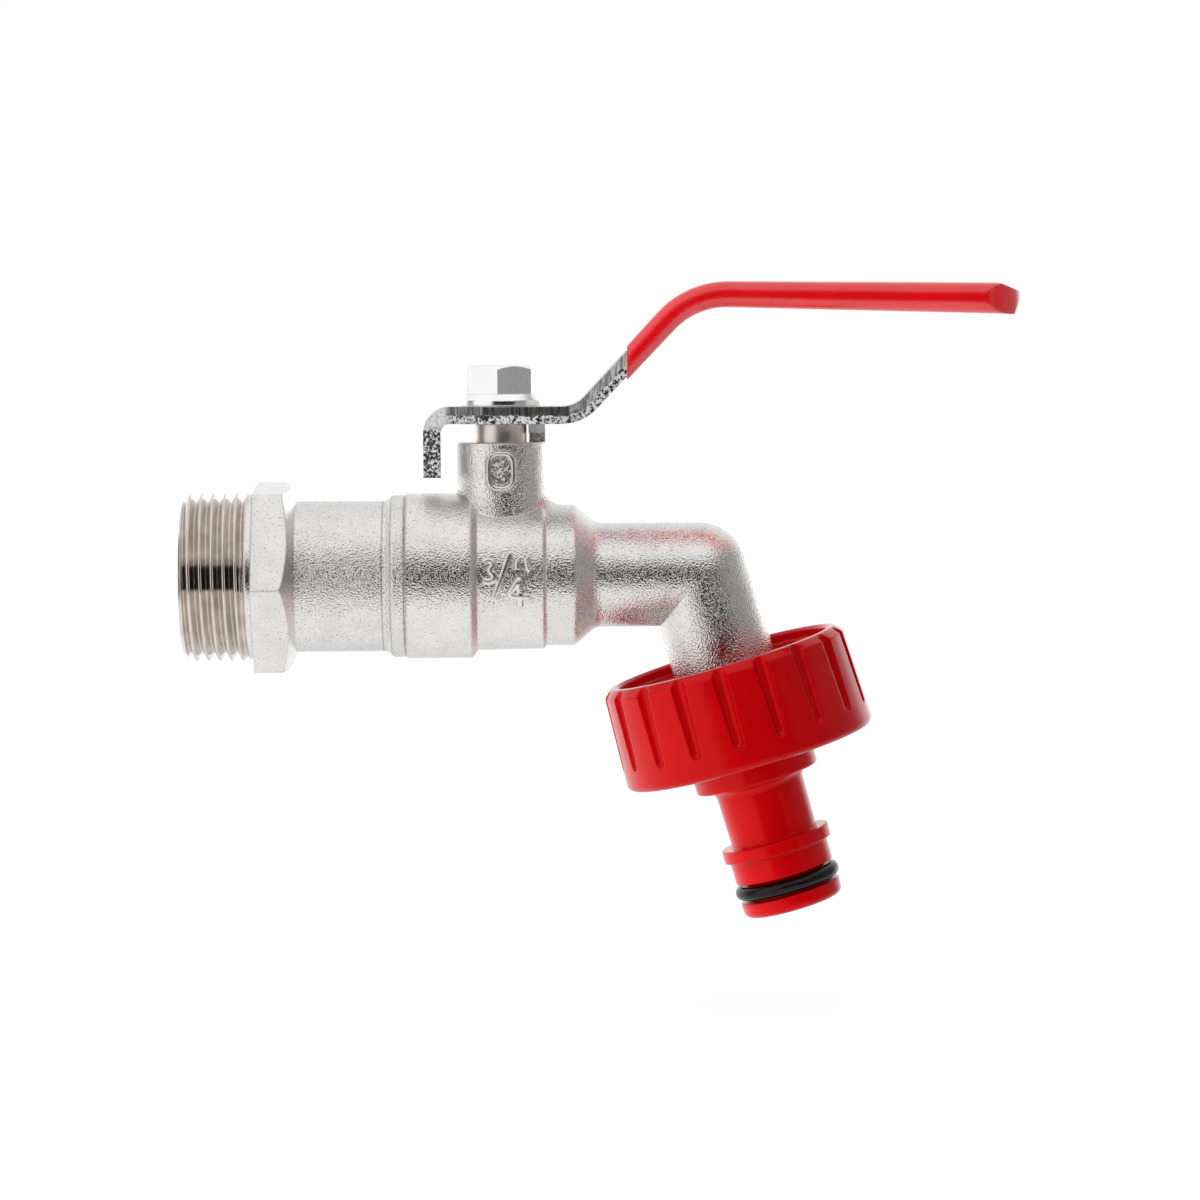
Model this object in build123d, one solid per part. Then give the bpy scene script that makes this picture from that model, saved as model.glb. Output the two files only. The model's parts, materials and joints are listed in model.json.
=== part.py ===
from build123d import *
import math
import os

os.makedirs("parts", exist_ok=True)

# Millimetres. +X runs along the pipe from inlet to outlet, +Z runs up the stem.
# The origin is on the pipe axis where the inlet thread ends, just before its hexagon.

# Inlet end
THREAD_R = 13.22
THREAD_LENGTH = 9.8
THREAD_LEAD = 1.2
THREAD_RELIEF = 0.25
INLET_BORE_R = 9.3
HEX_ACROSS = 28.0
HEX_START = 1.5
HEX_END = 8.0
HEX_TURN = 5.0
HEX_DOME = 1.9
HEX_BACK_R = 12.6
TUBE_R = 11.85
SHOULDER_LENGTH = 2.2
SHOULDER_R = 12.8
SEAM_BREAK = 0.22
SPIGOT_R = 10.8

# Valve body, with its places along the pipe counted from the stem
STEM_X = 40.2
SEAM_TO_STEM = 15.1
LEFT_BARREL_LENGTH = 10.4
LEFT_BARREL_R = 13.0
STEM_TO_CREASE = 6.9
MID_BARREL_R = 11.95
RING_LENGTH = 4.5
RING_R = 11.1
FLARE_LENGTH = 3.4
SPOUT_R = 8.2
SPOUT_BORE_R = 5.9
STEM_TO_KNEE = 30.8
OUTLET_TILT = 16.1
BOSS_R = 7.0
BOSS_TOP = 21.0
BOSS_FILLET = 2.6
CREASE = 0.35
PAD_HEIGHT = 6.4
PAD_WIDTH = 4.8
PAD_MIDDLE = 16.6
PAD_RISE = 0.75
PAD_EDGE = 0.45
PAD_CORNER = 1.9
PAD_DISH_HEIGHT = 4.0
PAD_DISH_WIDTH = 3.3
PAD_DISH_DEPTH = 0.25

# Ball, seats and stem
BALL_R = 9.25
BALL_BORE_R = 6.0
SEAT_BACK = 8.0
SEAT_FRONT = 4.6
SEAT_R = 9.4
CHAMBER_R = 9.5
STEM_R = 4.0
STEM_COLLAR_R = 5.4
STEM_COLLAR_BASE = 9.55
STEM_COLLAR_HEIGHT = 1.7
THRUST_HEIGHT = 1.0
TANG_THICKNESS = 3.6
TANG_WIDTH = 7.2
TANG_BASE = 6.9
TANG_GAP = 0.15
STEM_GROOVE_R = 2.9
STEM_GROOVE_WIDTH = 1.5
STEM_GROOVES = (14.4, 17.8)
DRIVE_R = 3.5
DRIVE_FLATS = 5.0
STUD_R = 3.0
STUD_TOP = 32.4

# Lever
PLATE = 2.7
PLATE_BASE = 23.9
HOOK_REACH = 10.8
HOOK_TIP_Z = 15.5
HOOK_BEND = 2.75
HOOK_WIDTH = 8.4
HEAD_REAR = -3.0
HEAD_FRONT = 5.7
HEAD_WIDTH = 17.2
ARM_START = 11.5
ARM_WIDTH = 14.0
LOW_BEND_X = 12.2
LOW_BEND = 6.0
HIGH_BEND_X = 29.8
HIGH_BEND_RISE = 18.75
HIGH_BEND = 13.0
GRIP_FALL = 1.1
ARM_END = 79.4
SLEEVE_START = 19.7
SLEEVE_END = 81.8
SLEEVE_WALL_START = 0.45
SLEEVE_WALL = 1.15
SLEEVE_ROUND_SHARE = 0.41
TIP_SLOPE_START = 75.5
TIP_SLOPE_DROP = 1.7
TIP_UNDERCUT = 2.0
TIP_NOSE = 0.7
NIB_INNER = 4.3
NIB_OUTER = 6.9
NIB_WIDTH = 2.6
NIB_DROP = 1.5
STOP_RISE = 2.2
STOP_REACH = 11.6
STOP_DEPTH = 5.6

# Flange nut
NUT_ACROSS = 10.0
NUT_TOP = 33.0
NUT_FLANGE_R = 6.35
NUT_FLANGE_EDGE = 0.9
NUT_FLANGE_HEIGHT = 1.9
NUT_TURN = 25.5

# Outlet union, measured along the outlet axis from the middle of the knee
OUTLET_THREAD_R = 16.62
OUTLET_FLANGE_START = 17.0
OUTLET_FACE = 23.4
OUTLET_FLARE_R = 8.6
WASHER_THICKNESS = 1.8
WASHER_R = 14.8
WASHER_HOLE_R = 8.6
RIM = 13.6
RIM_CHAMFER = 1.2
UNION_WALL = 2.5
UNION_FLARE = 0.6
UNION_END = 30.0
UNION_MOUTH_GAP = 0.43
UNION_MOUTH_DEPTH = 1.8
FLUTE_COUNT = 18
FLUTE_OFFSET = -5.0
FLUTE_R_TOP = 1.3
FLUTE_R_BASE = 0.9
FLUTE_DEPTH_TOP = 1.15
FLUTE_DEPTH_BASE = 0.75
FLUTE_LEAD = 0.8
FLUTE_END = 26.4
NIPPLE_FLANGE = 2.0
HUB_R = 10.0
HUB_END = 33.7
NIPPLE_NECK_R = 6.9
NIPPLE_NECK_FILLET = 1.6
COLLAR_START = 43.3
COLLAR_END = 45.6
COLLAR_R = 8.7
LAND_R = 7.9
GROOVE_START = 49.0
GROOVE_END = 52.1
GROOVE_R = 6.2
TIP_R = 8.05
TIP_END = 54.6
TIP_ROUND = 1.1
NIPPLE_BORE_R = 5.3
ORING_R = 1.12

# Clearances
SCREW_FIT = 0.05
RUN_FIT = 0.06
BALL_FIT = 0.06
UNION_FIT = 0.15
STOP_FIT = 0.2
SEAL_FIT = 0.02

SEAM_X = STEM_X - SEAM_TO_STEM
SHOULDER_START = SEAM_X - SHOULDER_LENGTH
LEFT_BARREL_END = SEAM_X + LEFT_BARREL_LENGTH
MID_BARREL_END = STEM_X + STEM_TO_CREASE
RING_END = MID_BARREL_END + RING_LENGTH
FLARE_END = RING_END + FLARE_LENGTH
KNEE_X = STEM_X + STEM_TO_KNEE
UNION_MOUTH_R = OUTLET_THREAD_R + UNION_MOUTH_GAP
UNION_R = UNION_MOUTH_R + UNION_WALL
UNION_BASE_R = UNION_R + UNION_FLARE
PLATE_TOP = PLATE_BASE + PLATE
PLATE_MID = PLATE_BASE + PLATE / 2
AT_STEM = Pos(STEM_X, 0, 0)
AT_OUTLET = Pos(KNEE_X, 0, 0) * Rot(0, 90 - OUTLET_TILT, 0)


def turned(corners):
    """A solid of revolution about local X from (along, radius, rounding) corners."""
    points = [(along, radius) for along, radius, _ in corners]
    roundings = [rounding for _, _, rounding in corners]
    outline = FilletPolyline(*points, radius=roundings, close=True)
    return revolve(make_face(outline), Axis.X)


def rod(radius, start, end):
    """A plain cylinder on local X."""
    return Pos((start + end) / 2, 0, 0) * Rot(0, 90, 0) * Cylinder(radius, end - start)


def post(radius, base, top):
    """A plain cylinder on local Z."""
    return Pos(0, 0, (base + top) / 2) * Cylinder(radius, top - base)


def save(solid, name):
    solid = solid.solid() if hasattr(solid, "solid") else solid
    export_step(solid, f"parts/{name}.step")


# Inlet end: thread, wrench hexagon, tube and the spigot that screws into the body
seat_back_x = STEM_X - SEAT_BACK
hex_middle = (HEX_START + HEX_END) / 2
inlet_turning = turned(
    [
        (-THREAD_LENGTH, INLET_BORE_R + 0.5, 0),
        (-THREAD_LENGTH, THREAD_R - THREAD_LEAD, 0),
        (-THREAD_LENGTH + THREAD_LEAD, THREAD_R, 0),
        (0, THREAD_R, 0),
        (THREAD_RELIEF, THREAD_R - THREAD_RELIEF, 0),
        (hex_middle, THREAD_R - THREAD_RELIEF, 0),
        (hex_middle, TUBE_R, 0),
        (SHOULDER_START - 0.9, TUBE_R, 1.0),
        (SHOULDER_START + 0.3, SHOULDER_R, 0.8),
        (SEAM_X - SEAM_BREAK, SHOULDER_R, 0),
        (SEAM_X, SHOULDER_R - SEAM_BREAK, 0),
        (SEAM_X, SPIGOT_R, 0),
        (seat_back_x, SPIGOT_R, 0),
        (seat_back_x, BALL_BORE_R + 0.1, 0),
        (seat_back_x - 1.5, BALL_BORE_R + 0.1, 0),
        (seat_back_x - 4.5, INLET_BORE_R, 0),
        (-THREAD_LENGTH + 0.5, INLET_BORE_R, 0),
    ]
)
hexagon = RegularPolygon(HEX_ACROSS / 2, 6, major_radius=False, rotation=HEX_TURN)
hex_bar = extrude(Plane.YZ * Rot(0, 0, 180) * hexagon, HEX_END)
hex_corner = HEX_ACROSS / math.sqrt(3)
hex_turning = turned(
    [
        (HEX_START, INLET_BORE_R + 0.01, 0),
        (HEX_START, hex_corner - 0.2, 0),
        (HEX_START + 0.25, hex_corner + 0.05, 0),
        (HEX_END - HEX_DOME, hex_corner + 0.05, 1.0),
        (HEX_END - 0.3, HEX_BACK_R, 0.4),
        (HEX_END, TUBE_R + 0.1, 0),
        (HEX_END, INLET_BORE_R + 0.01, 0),
    ]
)
inlet_end = inlet_turning + (hex_bar & hex_turning)

# Valve body: barrel, stem boss, spout, knee, leg and the threaded outlet flange
core = rod(RING_R, SEAM_X + SEAM_BREAK, RING_END - RING_LENGTH / 3)
boss = post(BOSS_R, 0, BOSS_TOP)
boss = AT_STEM * chamfer(boss.edges().group_by(Axis.Z)[-1], 0.25)
body = core + boss
joint = [
    edge
    for edge in body.edges()
    if edge.geom_type not in (GeomType.LINE, GeomType.CIRCLE)
]
body = fillet(joint, BOSS_FILLET)
body += turned(
    [
        (SEAM_X + SEAM_BREAK, 0, 0),
        (SEAM_X + SEAM_BREAK, MID_BARREL_R, 0),
        (MID_BARREL_END - 0.4, MID_BARREL_R - CREASE, 0.4),
        (MID_BARREL_END, RING_R, 0.4),
        (RING_END, RING_R, 1.0),
        (FLARE_END, SPOUT_R, 2.6),
        (KNEE_X - SPOUT_R / 2, SPOUT_R, 0),
        (KNEE_X - SPOUT_R / 2, 0, 0),
    ]
)
left_barrel = turned(
    [
        (SEAM_X, 0, 0),
        (SEAM_X, LEFT_BARREL_R - SEAM_BREAK, 0),
        (SEAM_X + SEAM_BREAK, LEFT_BARREL_R, 0),
        (LEFT_BARREL_END, LEFT_BARREL_R, 0.8),
        (LEFT_BARREL_END + 0.9, MID_BARREL_R - 0.2, 0),
        (LEFT_BARREL_END + 0.9, 0, 0),
    ]
)
body += left_barrel
body += rod(SPOUT_R, KNEE_X - SPOUT_R, KNEE_X)
body += Pos(KNEE_X, 0, 0) * Sphere(SPOUT_R)
leg = turned(
    [
        (0, 0, 0),
        (0, SPOUT_R, 0),
        (OUTLET_FLANGE_START, SPOUT_R, 1.6),
        (OUTLET_FLANGE_START, OUTLET_THREAD_R - 0.9, 0),
        (OUTLET_FLANGE_START + 0.9, OUTLET_THREAD_R, 0),
        (OUTLET_FACE - 0.9, OUTLET_THREAD_R, 0),
        (OUTLET_FACE, OUTLET_THREAD_R - 0.9, 0),
        (OUTLET_FACE, 0, 0),
    ]
)
body += AT_OUTLET * leg

# Raised blank pad on the front of the boss, dished in its middle
pad_outline = RectangleRounded(PAD_WIDTH, PAD_HEIGHT, PAD_CORNER)
pad_face = Plane((STEM_X, -BOSS_R - PAD_RISE, PAD_MIDDLE), x_dir=(1, 0, 0), z_dir=(0, 1, 0))
pad = extrude(pad_face * pad_outline, BOSS_R / 2)
pad = chamfer(pad.faces().sort_by(Axis.Y)[0].edges(), PAD_EDGE)
body += pad
body -= extrude(pad_face * Ellipse(PAD_DISH_WIDTH / 2, PAD_DISH_HEIGHT / 2), PAD_DISH_DEPTH)

# One stop: its near end meets the lever's nib when open, its flank the hook when shut
stop_x = HOOK_WIDTH / 2 + STOP_FIT
stop_y = NIB_WIDTH / 2 + STOP_FIT
stop_top = BOSS_TOP + STOP_RISE
stop_side = Polyline(
    (stop_y, BOSS_TOP - 3),
    (stop_y, stop_top),
    (STOP_REACH, stop_top),
    (STOP_REACH, stop_top - STOP_DEPTH),
    (BOSS_R - 1.5, stop_top - STOP_DEPTH - 5),
    (stop_y, stop_top - STOP_DEPTH - 5),
    close=True,
)
stop = extrude(Plane.YZ * make_face(stop_side), NIB_OUTER - stop_x)
stop = fillet(stop.edges().filter_by(Axis.X).group_by(Axis.Y)[-1], 0.8)
body += Pos(STEM_X + stop_x, 0, 0) * stop

# Everything that is bored out of the body
chamber_end = STEM_X + SEAT_BACK
body -= rod(SPIGOT_R + SCREW_FIT, SEAM_X - 1, seat_back_x + 0.2)
body -= rod(CHAMBER_R, SEAM_X - 1, chamber_end)
body -= rod(SPOUT_BORE_R, SEAM_X, KNEE_X)
body -= Pos(KNEE_X, 0, 0) * Sphere(SPOUT_BORE_R)
body -= AT_OUTLET * turned(
    [
        (0, 0, 0),
        (0, SPOUT_BORE_R, 0),
        (OUTLET_FLANGE_START - 1, SPOUT_BORE_R, 0),
        (OUTLET_FACE - 1.5, OUTLET_FLARE_R, 0),
        (OUTLET_FACE + 1, OUTLET_FLARE_R, 0),
        (OUTLET_FACE + 1, 0, 0),
    ]
)
collar_top = STEM_COLLAR_BASE + STEM_COLLAR_HEIGHT
thrust_top = collar_top + THRUST_HEIGHT
body -= AT_STEM * post(STEM_COLLAR_R + RUN_FIT, 0, thrust_top)
body -= AT_STEM * post(STEM_R + RUN_FIT, 0, BOSS_TOP + 1)

# Ball with its waterway and the slot that the stem turns it by
ball = Sphere(BALL_R) - rod(BALL_BORE_R, -BALL_R - 1, BALL_R + 1)
ball -= Pos(0, 0, TANG_BASE - TANG_GAP + BALL_R) * Box(
    TANG_THICKNESS + 2 * RUN_FIT, 3 * BALL_R, 2 * BALL_R
)
ball = AT_STEM * ball

# Seats, one ring mirrored to the other side of the ball
seat_inner = BALL_BORE_R + 0.1
seat_sphere = BALL_R + BALL_FIT
seat_lip = (math.sqrt(seat_sphere**2 - seat_inner**2), seat_inner)
seat_face = (SEAT_FRONT, math.sqrt(seat_sphere**2 - SEAT_FRONT**2))
seat_sides = Polyline(
    seat_face,
    (SEAT_FRONT, SEAT_R),
    (SEAT_BACK, SEAT_R),
    (SEAT_BACK, seat_inner),
    seat_lip,
)
seat_angle = (math.atan2(seat_face[1], seat_face[0]) + math.atan2(seat_lip[1], seat_lip[0])) / 2
seat_middle = (seat_sphere * math.cos(seat_angle), seat_sphere * math.sin(seat_angle))
seat_outline = seat_sides + ThreePointArc(seat_lip, seat_middle, seat_face)
seat_ring = revolve(make_face(seat_outline.edges()), Axis.X)
outlet_seat = AT_STEM * seat_ring
inlet_seat = AT_STEM * Rot(0, 0, 180) * seat_ring

# Stem: tang, collar, two seal grooves, lever drive with flats and the threaded stud
stem_turning = Rot(0, -90, 0) * turned(
    [
        (STEM_COLLAR_BASE, 0, 0),
        (STEM_COLLAR_BASE, STEM_COLLAR_R, 0),
        (collar_top, STEM_COLLAR_R, 0),
        (collar_top, STEM_R, 0),
        (STEM_GROOVES[0], STEM_R, 0),
        (STEM_GROOVES[0], STEM_GROOVE_R, 0),
        (STEM_GROOVES[0] + STEM_GROOVE_WIDTH, STEM_GROOVE_R, 0),
        (STEM_GROOVES[0] + STEM_GROOVE_WIDTH, STEM_R, 0),
        (STEM_GROOVES[1], STEM_R, 0),
        (STEM_GROOVES[1], STEM_GROOVE_R, 0),
        (STEM_GROOVES[1] + STEM_GROOVE_WIDTH, STEM_GROOVE_R, 0),
        (STEM_GROOVES[1] + STEM_GROOVE_WIDTH, STEM_R, 0),
        (PLATE_BASE - 0.2, STEM_R, 0),
        (PLATE_BASE, STEM_R - 0.2, 0),
        (PLATE_BASE, 0, 0),
    ]
)
drive = post(DRIVE_R, PLATE_BASE, PLATE_TOP - 0.15)
drive &= Pos(0, 0, PLATE_MID) * Box(3 * DRIVE_R, DRIVE_FLATS, 2 * PLATE)
stud = post(STUD_R, PLATE_BASE, STUD_TOP)
stud = chamfer(stud.edges().group_by(Axis.Z)[-1], 0.5)
tang = Pos(0, 0, (TANG_BASE + STEM_COLLAR_BASE + 0.5) / 2) * Box(
    TANG_THICKNESS, TANG_WIDTH, STEM_COLLAR_BASE + 0.5 - TANG_BASE
)
# The stud keeps the flats where the lever sits on it
stud_flats = Pos(0, 0, PLATE_BASE) * Box(3 * STUD_R, DRIVE_FLATS, 2 * PLATE)
stud &= stud_flats + post(2 * STUD_R, PLATE_TOP, STUD_TOP + PLATE)
stem = AT_STEM * (stem_turning + drive + stud + tang)
stem_thrust_washer = AT_STEM * (
    post(STEM_COLLAR_R, collar_top, thrust_top) - post(STEM_R + RUN_FIT, 0, thrust_top + 1)
)
seal_section = (STEM_R + RUN_FIT - SEAL_FIT - STEM_GROOVE_R - SEAL_FIT) / 2
seal_ring = Torus(STEM_GROOVE_R + SEAL_FIT + seal_section, seal_section)
stem_oring_lower = AT_STEM * Pos(0, 0, STEM_GROOVES[0] + STEM_GROOVE_WIDTH / 2) * seal_ring
stem_oring_upper = AT_STEM * Pos(0, 0, STEM_GROOVES[1] + STEM_GROOVE_WIDTH / 2) * seal_ring

# Lever: bent steel strip cut to its outline, with the drive hole and the stop nib
high_z = PLATE_MID + HIGH_BEND_RISE
grip_run = SLEEVE_END + 4 - HIGH_BEND_X
grip_end = (SLEEVE_END + 4, 0, high_z - grip_run * math.tan(math.radians(GRIP_FALL)))
lever_path = FilletPolyline(
    (-HOOK_REACH, 0, HOOK_TIP_Z),
    (-HOOK_REACH, 0, PLATE_MID),
    (LOW_BEND_X, 0, PLATE_MID),
    (HIGH_BEND_X, 0, high_z),
    grip_end,
    radius=[HOOK_BEND, LOW_BEND, HIGH_BEND],
)
strip_start = Plane(lever_path @ 0, x_dir=(1, 0, 0), z_dir=lever_path % 0)
strip = sweep(strip_start * Rectangle(PLATE, 2 * HEAD_WIDTH), lever_path)
half_arm = ARM_WIDTH / 2
lever_plan = FilletPolyline(
    (-HOOK_REACH - 4, -HOOK_WIDTH / 2),
    (-HOOK_REACH + 3.6, -HOOK_WIDTH / 2),
    (HEAD_REAR, -HEAD_WIDTH / 2),
    (HEAD_FRONT, -HEAD_WIDTH / 2),
    (ARM_START, -half_arm),
    (ARM_END, -half_arm),
    (ARM_END, half_arm),
    (ARM_START, half_arm),
    (HEAD_FRONT, HEAD_WIDTH / 2),
    (HEAD_REAR, HEAD_WIDTH / 2),
    (-HOOK_REACH + 3.6, HOOK_WIDTH / 2),
    (-HOOK_REACH - 4, HOOK_WIDTH / 2),
    radius=[0, 2, 1, 1, 6, half_arm - 0.05, half_arm - 0.05, 6, 1, 1, 2, 0],
    close=True,
)
lever = strip & extrude(make_face(lever_plan), 2 * high_z)
drive_hole = post(DRIVE_R + SCREW_FIT, PLATE_BASE - PLATE, PLATE_TOP + PLATE)
drive_hole &= Pos(0, 0, PLATE_MID) * Box(3 * DRIVE_R, DRIVE_FLATS + 2 * SCREW_FIT, 4 * PLATE)
lever -= drive_hole
nib_middle = (NIB_INNER + NIB_OUTER) / 2
lever += Pos(nib_middle, 0, PLATE_BASE - NIB_DROP / 2 + 0.3) * Box(
    NIB_OUTER - NIB_INNER, NIB_WIDTH, NIB_DROP + 0.6
)

# Sleeve: soft rounded tube over the arm, closed and pinched at its tip
slope = HIGH_BEND_RISE / (HIGH_BEND_X - LOW_BEND_X)
before_sleeve = (SLEEVE_START + LOW_BEND_X) / 2
sleeve_path = FilletPolyline(
    (before_sleeve, 0, PLATE_MID + (before_sleeve - LOW_BEND_X) * slope),
    (HIGH_BEND_X, 0, high_z),
    grip_end,
    radius=[HIGH_BEND],
)
sleeve_width = ARM_WIDTH + 2 * SLEEVE_WALL
sleeve_height = PLATE + 2 * SLEEVE_WALL
sleeve_sections = []
for share, wall in ((0, SLEEVE_WALL_START), (1, SLEEVE_WALL)):
    height = PLATE + 2 * wall
    section = RectangleRounded(ARM_WIDTH + 2 * wall, height, SLEEVE_ROUND_SHARE * height)
    place = Plane(sleeve_path @ share, x_dir=(0, 1, 0), z_dir=sleeve_path % share)
    sleeve_sections.append(place * section)
sleeve = sweep(sleeve_sections, sleeve_path, multisection=True)
half_plan = sleeve_width / 2 + SLEEVE_WALL / 10
sleeve_plan = FilletPolyline(
    (SLEEVE_START, -half_plan),
    (SLEEVE_END, -half_plan),
    (SLEEVE_END, half_plan),
    (SLEEVE_START, half_plan),
    radius=[0, half_plan - 0.05, half_plan - 0.05, 0],
    close=True,
)
sleeve &= extrude(make_face(sleeve_plan), 2 * high_z)
tip_drop = (TIP_SLOPE_START - HIGH_BEND_X) * math.tan(math.radians(GRIP_FALL))
tip_top = high_z - tip_drop + sleeve_height / 2
tip_base = tip_top - sleeve_height - 1
tip_cut = FilletPolyline(
    (TIP_SLOPE_START - 2, tip_top + PLATE),
    (TIP_SLOPE_START - 2, tip_top + 0.1),
    (TIP_SLOPE_START + 2, tip_top - 0.1),
    (SLEEVE_END, tip_top - TIP_SLOPE_DROP),
    (SLEEVE_END - TIP_UNDERCUT, tip_base),
    (SLEEVE_END + PLATE, tip_base),
    (SLEEVE_END + PLATE, tip_top + PLATE),
    radius=[0, 0, 6, TIP_NOSE, 0, 0, 0],
    close=True,
)
sleeve -= extrude(Plane.XZ * make_face(tip_cut), sleeve_width, both=True)
lever = AT_STEM * lever
lever_sleeve = AT_STEM * sleeve - lever

# Flange nut
nut_hex = RegularPolygon(NUT_ACROSS / 2, 6, major_radius=False, rotation=NUT_TURN)
nut = Pos(0, 0, PLATE_TOP) * extrude(nut_hex, NUT_TOP - PLATE_TOP)
nut_corner = NUT_ACROSS / math.sqrt(3)
nut &= Rot(0, -90, 0) * turned(
    [
        (PLATE_TOP, 0, 0),
        (PLATE_TOP, nut_corner + 0.1, 0),
        (NUT_TOP - 0.7, nut_corner + 0.1, 0),
        (NUT_TOP, NUT_ACROSS / 2 - 0.2, 0),
        (NUT_TOP, 0, 0),
    ]
)
nut += Rot(0, -90, 0) * turned(
    [
        (PLATE_TOP, 0, 0),
        (PLATE_TOP, NUT_FLANGE_R - 0.2, 0),
        (PLATE_TOP + 0.2, NUT_FLANGE_R, 0),
        (PLATE_TOP + NUT_FLANGE_EDGE, NUT_FLANGE_R, 0.3),
        (PLATE_TOP + NUT_FLANGE_HEIGHT, nut_corner - 0.1, 0),
        (PLATE_TOP + NUT_FLANGE_HEIGHT, 0, 0),
    ]
)
nut -= post(STUD_R + SCREW_FIT, PLATE_TOP - 1, NUT_TOP + 1)
nut -= Rot(0, -90, 0) * turned(
    [
        (NUT_TOP - 0.6, 0, 0),
        (NUT_TOP - 0.6, STUD_R, 0),
        (NUT_TOP, STUD_R + 0.6, 0),
        (NUT_TOP, 0, 0),
    ]
)
flange_nut = AT_STEM * nut

# Union nut: skirt over the outlet thread, inner ledge, and finger flutes outside
washer_end = OUTLET_FACE + WASHER_THICKNESS
ledge = washer_end + NIPPLE_FLANGE
thread_wall_r = OUTLET_THREAD_R + UNION_FIT
union_nut = turned(
    [
        (RIM, UNION_MOUTH_R + 0.4, 0),
        (RIM, UNION_R - RIM_CHAMFER, 0.8),
        (RIM + RIM_CHAMFER, UNION_R, 0.6),
        (UNION_END, UNION_BASE_R, 1.1),
        (UNION_END, HUB_R + UNION_FIT, 0.3),
        (ledge, HUB_R + UNION_FIT, 0),
        (ledge, thread_wall_r, 0),
        (RIM + UNION_MOUTH_DEPTH, thread_wall_r, 0),
        (RIM + UNION_MOUTH_DEPTH - 0.2, UNION_MOUTH_R, 0),
        (RIM + 0.4, UNION_MOUTH_R, 0),
    ]
)
wall_slope = (UNION_BASE_R - UNION_R) / (UNION_END - RIM - RIM_CHAMFER)
flute_start = RIM - FLUTE_LEAD
flute_stop = FLUTE_END - FLUTE_R_BASE
start_wall = UNION_R + (flute_start - RIM - RIM_CHAMFER) * wall_slope
stop_wall = UNION_R + (flute_stop - RIM - RIM_CHAMFER) * wall_slope
start_r = start_wall + FLUTE_R_TOP - FLUTE_DEPTH_TOP
stop_r = stop_wall + FLUTE_R_BASE - FLUTE_DEPTH_BASE
flute_length = math.hypot(flute_stop - flute_start, stop_r - start_r)
flute_lean = math.degrees(math.atan2(stop_r - start_r, flute_stop - flute_start))
flute = Pos((flute_start + flute_stop) / 2, 0, (start_r + stop_r) / 2) * Rot(0, 90 - flute_lean, 0)
flute = flute * Cone(FLUTE_R_TOP, FLUTE_R_BASE, flute_length)
flute += Pos(flute_stop, 0, stop_r) * Sphere(FLUTE_R_BASE)
flutes = [
    Rot(90 - FLUTE_OFFSET - number * 360 / FLUTE_COUNT, 0, 0) * flute
    for number in range(FLUTE_COUNT)
]
union_nut = AT_OUTLET * (union_nut - flutes)

# Hose nipple: flange held in the nut, hub, neck, collar, seal groove and rounded tip
hose_nipple = AT_OUTLET * turned(
    [
        (washer_end, WASHER_HOLE_R, 0),
        (washer_end, WASHER_R, 0),
        (ledge, WASHER_R, 0),
        (ledge, HUB_R, 0),
        (HUB_END, HUB_R - 0.15, 0.4),
        (HUB_END, NIPPLE_NECK_R + 0.15, NIPPLE_NECK_FILLET),
        (COLLAR_START, NIPPLE_NECK_R, 0.25),
        (COLLAR_START, COLLAR_R, 0.25),
        (COLLAR_END - 0.3, COLLAR_R, 0.25),
        (COLLAR_END, LAND_R, 0),
        (GROOVE_START, LAND_R, 0.15),
        (GROOVE_START, GROOVE_R, 0),
        (GROOVE_END, GROOVE_R, 0),
        (GROOVE_END, TIP_R, 0.2),
        (TIP_END, TIP_R - 0.1, TIP_ROUND),
        (TIP_END, NIPPLE_BORE_R + 0.4, 0),
        (TIP_END - 0.4, NIPPLE_BORE_R, 0),
        (ledge + 1.5, NIPPLE_BORE_R, 0),
    ]
)
nipple_oring = AT_OUTLET * Pos((GROOVE_START + GROOVE_END) / 2, 0, 0) * Rot(0, 90, 0) * Torus(
    GROOVE_R + SEAL_FIT + ORING_R, ORING_R
)
outlet_washer = AT_OUTLET * (
    rod(WASHER_R, OUTLET_FACE, washer_end) - rod(WASHER_HOLE_R, OUTLET_FACE - 1, washer_end + 1)
)

save(inlet_end, "inlet_end")
save(body, "valve_body")
save(ball, "ball")
save(inlet_seat, "inlet_seat")
save(outlet_seat, "outlet_seat")
save(stem, "stem")
save(stem_thrust_washer, "stem_thrust_washer")
save(stem_oring_lower, "stem_oring_lower")
save(stem_oring_upper, "stem_oring_upper")
save(lever, "lever")
save(lever_sleeve, "lever_sleeve")
save(flange_nut, "flange_nut")
save(union_nut, "union_nut")
save(hose_nipple, "hose_nipple")
save(nipple_oring, "nipple_oring")
save(outlet_washer, "outlet_washer")
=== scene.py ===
import json
import math

import bmesh
import bpy
from mathutils import Matrix, Vector, noise


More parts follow.
